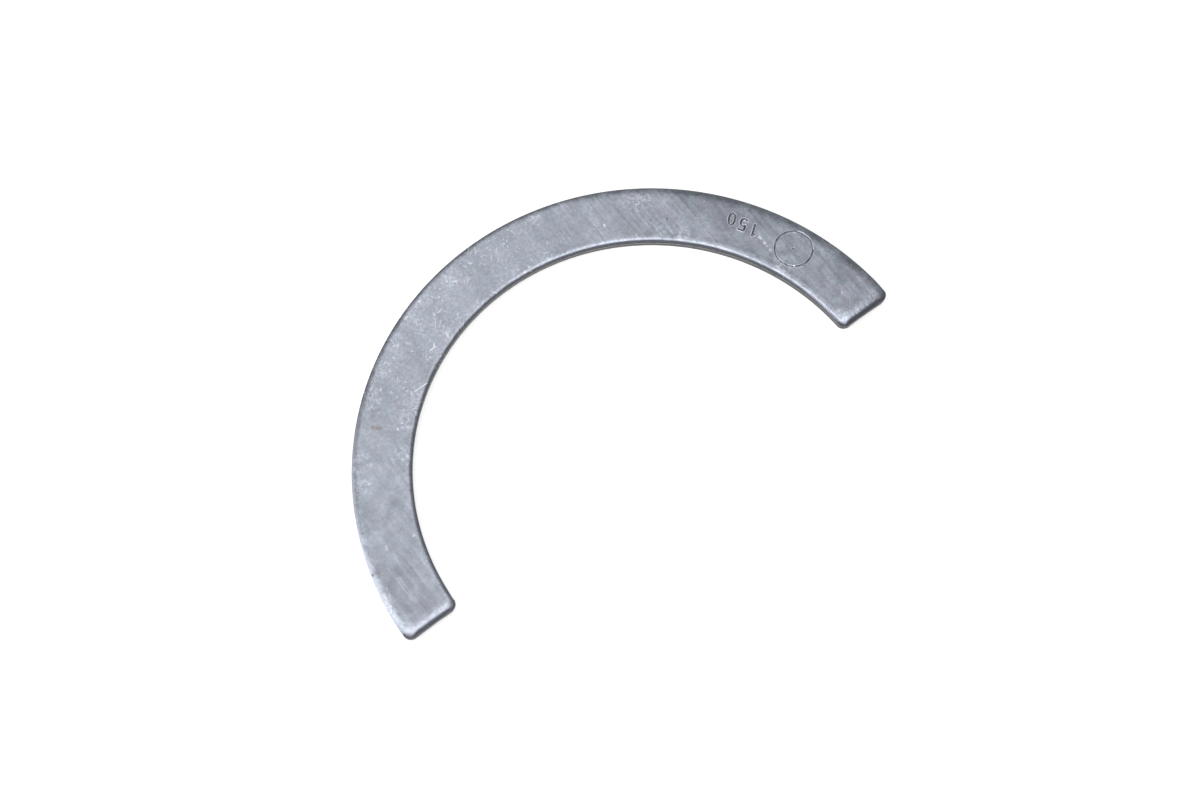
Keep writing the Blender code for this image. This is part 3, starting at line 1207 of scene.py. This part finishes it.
# Each box's middle to the right, away and up as the camera sees it, its size, how many
# degrees it leans over, and its brightness, where 1 is white
SOFT_BOXES = {
    "overhead": ((-0.20, -0.20, 0.70), (1.10, 0.40), 0.0, 2.04),
    "right_pool": ((0.15, 0.075, 0.70), (0.20, 0.15), 0.0, 1.7),
    "middle_wash": ((-0.10, 0.225, 0.70), (0.70, 0.15), 0.0, 0.71),
    "far_wash": ((-0.20, 0.40, 0.70), (0.50, 0.20), 0.0, 0.92),
    "back_wash": ((-0.30, 0.70, 0.70), (0.50, 0.36), 0.0, 0.68),
    "side_near": ((-1.00, -0.30, 0.50), (0.55, 0.60), -62.0, 2.9),
    "side_far": ((-1.05, 0.21, 0.50), (0.55, 0.42), -62.0, 1.2),
}


def soft_box(name, middle, size, leaning, brightness):
    """A soft box placed as its row says, on axes turned with the camera."""
    lamp_data = bpy.data.lights.new(name, "AREA")
    lamp_data.shape = "RECTANGLE"
    lamp_data.size, lamp_data.size_y = size
    lamp_data.energy = brightness * math.pi * size[0] * size[1]
    lean_over = Matrix.Rotation(math.radians(leaning), 4, "Y")
    new_object(name, lamp_data).matrix_world = turn @ Matrix.Translation(middle) @ lean_over


def lifted_rays(tree):
    """1 for rays from the camera, off gloss or through glass, and 0 for the rest."""
    rays = add(tree, "ShaderNodeLightPath")
    seen = calc(tree, "MAXIMUM", rays["Is Camera Ray"], rays["Is Glossy Ray"])
    return calc(tree, "MAXIMUM", seen, rays["Is Transmission Ray"])


for name, row in SOFT_BOXES.items():
    soft_box(name, *row)

world = bpy.data.worlds.new("studio")
world.use_nodes = True
background = world.node_tree.nodes["Background"]
background.inputs["Color"].default_value = rgba([WORLD_GREY] * 3)
bpy.context.scene.world = world


def white_floor():
    """A plain white floor that is a little lighter to the camera than its lamps make it."""
    half = FLOOR_SIZE / 2
    data = bpy.data.meshes.new("floor")
    corners = [(-half, -half, 0.0), (half, -half, 0.0), (half, half, 0.0), (-half, half, 0.0)]
    data.from_pydata(corners, [], [(0, 1, 2, 3)])
    material, tree, shader = new_material("floor_white")
    shader["Base Color"].default_value = rgba([FLOOR_WHITE] * 3)
    shader["Roughness"].default_value = 1.0
    shader["Specular IOR Level"].default_value = 0.0
    feed(tree, shader["Emission Strength"], times(tree, lifted_rays(tree), FLOOR_LIFT))
    data.materials.append(material)
    return new_object("floor", data)


floor = white_floor()
floor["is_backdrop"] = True
bpy.context.scene.view_settings.view_transform = "Standard"
print("soft boxes:", len(SOFT_BOXES))

# %% [markdown] ## Finish Both boxes, the packed washer's and the dressed one's, are
# printed one after the other.

# %% Print both boxes
dressed_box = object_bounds()
for name, box in (("packed", cad_box), ("dressed", dressed_box)):
    print(name, [[round(value * 1000, 2) for value in corner] for corner in box])
